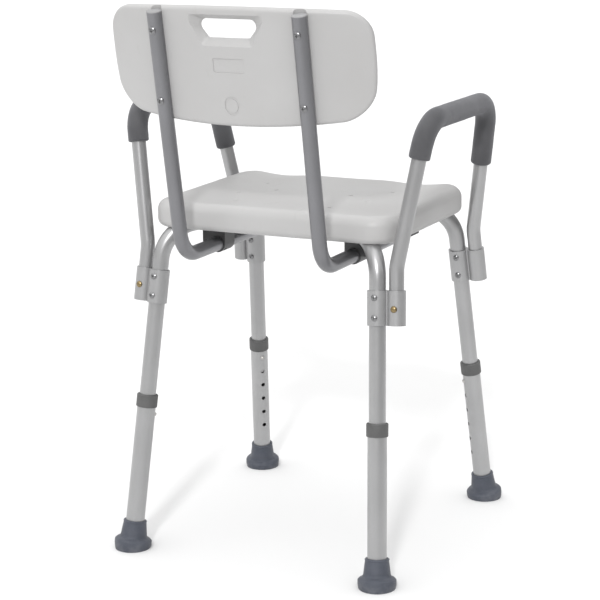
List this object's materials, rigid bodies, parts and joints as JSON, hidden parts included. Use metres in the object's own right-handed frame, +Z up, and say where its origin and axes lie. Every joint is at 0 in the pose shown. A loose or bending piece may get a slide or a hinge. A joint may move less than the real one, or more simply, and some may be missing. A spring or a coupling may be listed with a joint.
{
  "type": "shower chair",
  "caption": "Height-adjustable shower chair with a moulded seat, a curved backrest with a hand slot, lift-off padded armrests and splayed telescopic legs with rubber feet.",
  "frame": {"origin": "on the floor, under the middle of the chair's overall box", "axes": "+Z up, the sitter faces -Y, +X to the sitter's left"},
  "size_m": [0.512, 0.534, 0.8429],
  "materials": {
    "seat_plastic": "off-white blow-moulded polyethylene, faintly textured, satin",
    "frame_aluminium": "satin anodised aluminium tube",
    "clamp_aluminium": "matt extruded and anodised aluminium",
    "backrest_tube_grey": "mid-grey anodised aluminium tube, satin",
    "cap_plastic": "grey moulded plug",
    "grip_foam": "dark grey closed-cell foam, matt",
    "collar_plastic": "dark grey moulded ring, satin",
    "foot_rubber": "blue-grey moulded rubber, matt",
    "bracket_plastic": "near-black moulded plastic",
    "screw_zinc": "bright zinc plate",
    "button_brass": "dull brass",
    "button_steel": "plain steel",
    "spring_steel": "blued spring steel"
  },
  "bodies": {
    "frame": {"seat_panel": "seat_plastic", "cross_tube_lower": "frame_aluminium", "cross_tube_upper": "frame_aluminium", "centre_rivet": "screw_zinc", "clamp_screws": "screw_zinc", "bracket_screws": "screw_zinc", "seat_screws": "screw_zinc", "leg_clamp_rear_left": "clamp_aluminium", "leg_button_spring_rear_left": "spring_steel", "leg_clamp_rear_right": "clamp_aluminium", "leg_button_spring_rear_right": "spring_steel", "leg_clamp_front_right": "clamp_aluminium", "leg_button_spring_front_right": "spring_steel", "leg_clamp_front_left": "clamp_aluminium", "leg_button_spring_front_left": "spring_steel", "rear_bracket_left": "bracket_plastic", "rear_bracket_right": "bracket_plastic", "front_bracket_left": "bracket_plastic", "front_bracket_right": "bracket_plastic"},
    "leg_rear_left": {"outer_leg_rear_left": "frame_aluminium", "leg_collar_rear_left": "collar_plastic", "rubber_foot_rear_left": "foot_rubber", "foot_washer_rear_left": "screw_zinc"},
    "leg_rear_right": {"outer_leg_rear_right": "frame_aluminium", "leg_collar_rear_right": "collar_plastic", "rubber_foot_rear_right": "foot_rubber", "foot_washer_rear_right": "screw_zinc"},
    "leg_front_right": {"outer_leg_front_right": "frame_aluminium", "leg_collar_front_right": "collar_plastic", "rubber_foot_front_right": "foot_rubber", "foot_washer_front_right": "screw_zinc"},
    "leg_front_left": {"outer_leg_front_left": "frame_aluminium", "leg_collar_front_left": "collar_plastic", "rubber_foot_front_left": "foot_rubber", "foot_washer_front_left": "screw_zinc"},
    "leg_button_rear_left": {"leg_button_rear_left": "button_steel"},
    "leg_button_rear_right": {"leg_button_rear_right": "button_steel"},
    "leg_button_front_right": {"leg_button_front_right": "button_steel"},
    "leg_button_front_left": {"leg_button_front_left": "button_steel"},
    "armrest_left": {"armrest_tube_left": "frame_aluminium", "armrest_grip_left": "grip_foam", "armrest_button_spring_left": "spring_steel"},
    "armrest_right": {"armrest_tube_right": "frame_aluminium", "armrest_grip_right": "grip_foam", "armrest_button_spring_right": "spring_steel"},
    "armrest_button_left": {"armrest_button_left": "button_brass"},
    "armrest_button_right": {"armrest_button_right": "button_brass"},
    "backrest": {"backrest_panel": "seat_plastic", "backrest_tube_left": "backrest_tube_grey", "backrest_tube_right": "backrest_tube_grey", "backrest_tube_caps": "cap_plastic", "backrest_screws": "screw_zinc", "backrest_inserts": "button_brass", "backrest_button_spring_left": "spring_steel", "backrest_button_spring_right": "spring_steel"},
    "backrest_button_left": {"backrest_button_left": "button_steel"},
    "backrest_button_right": {"backrest_button_right": "button_steel"}
  },
  "joints": [
    {"name": "leg_height_rear_left", "type": "slide", "parent": "frame", "child": "leg_rear_left", "axis": [-0.0597, -0.1467, 0.9874], "range_m": [0, 0.127], "deforming": ["leg_button_rear_left"]},
    {"name": "leg_height_rear_right", "type": "slide", "parent": "frame", "child": "leg_rear_right", "axis": [0.0597, -0.1467, 0.9874], "range_m": [0, 0.127], "deforming": ["leg_button_rear_right"]},
    {"name": "leg_height_front_right", "type": "slide", "parent": "frame", "child": "leg_front_right", "axis": [0.0597, 0.1467, 0.9874], "range_m": [0, 0.127], "deforming": ["leg_button_front_right"]},
    {"name": "leg_height_front_left", "type": "slide", "parent": "frame", "child": "leg_front_left", "axis": [-0.0597, 0.1467, 0.9874], "range_m": [0, 0.127], "deforming": ["leg_button_front_left"]},
    {"name": "leg_button_press_rear_left", "type": "slide", "parent": "frame", "child": "leg_button_rear_left", "axis": [0.7422, 0.6549, 0.1421], "range_m": [0, 0.0045], "stiffness_N_per_m": 1500, "deforming": ["leg_button_spring_rear_left"]},
    {"name": "leg_button_press_rear_right", "type": "slide", "parent": "frame", "child": "leg_button_rear_right", "axis": [-0.7422, 0.6549, 0.1421], "range_m": [0, 0.0045], "stiffness_N_per_m": 1500, "deforming": ["leg_button_spring_rear_right"]},
    {"name": "leg_button_press_front_right", "type": "slide", "parent": "frame", "child": "leg_button_front_right", "axis": [-0.7422, -0.6549, 0.1421], "range_m": [0, 0.0045], "stiffness_N_per_m": 1500, "deforming": ["leg_button_spring_front_right"]},
    {"name": "leg_button_press_front_left", "type": "slide", "parent": "frame", "child": "leg_button_front_left", "axis": [0.7422, -0.6549, 0.1421], "range_m": [0, 0.0045], "stiffness_N_per_m": 1500, "deforming": ["leg_button_spring_front_left"]},
    {"name": "armrest_lift_left", "type": "slide", "parent": "frame", "child": "armrest_left", "axis": [0, 0, 1], "range_m": [0, 0.058], "deforming": ["armrest_tube_left", "armrest_button_left"]},
    {"name": "armrest_lift_right", "type": "slide", "parent": "frame", "child": "armrest_right", "axis": [0, 0, 1], "range_m": [0, 0.058], "deforming": ["armrest_tube_right", "armrest_button_right"]},
    {"name": "armrest_button_press_left", "type": "slide", "parent": "armrest_left", "child": "armrest_button_left", "axis": [-0.0815, -0.9851, -0.1512], "range_m": [0, 0.0055], "stiffness_N_per_m": 1500, "deforming": ["armrest_button_spring_left"]},
    {"name": "armrest_button_press_right", "type": "slide", "parent": "armrest_right", "child": "armrest_button_right", "axis": [0.0815, -0.9851, -0.1512], "range_m": [0, 0.0055], "stiffness_N_per_m": 1500, "deforming": ["armrest_button_spring_right"]},
    {"name": "backrest_slide", "type": "slide", "parent": "frame", "child": "backrest", "axis": [0, 1, 0], "range_m": [0, 0.23], "deforming": ["backrest_button_left", "backrest_button_right"]},
    {"name": "backrest_button_press_left", "type": "slide", "parent": "backrest", "child": "backrest_button_left", "axis": [0, 0, 1], "range_m": [0, 0.003], "stiffness_N_per_m": 1500, "deforming": ["backrest_button_spring_left"]},
    {"name": "backrest_button_press_right", "type": "slide", "parent": "backrest", "child": "backrest_button_right", "axis": [0, 0, 1], "range_m": [0, 0.003], "stiffness_N_per_m": 1500, "deforming": ["backrest_button_spring_right"]}
  ]
}
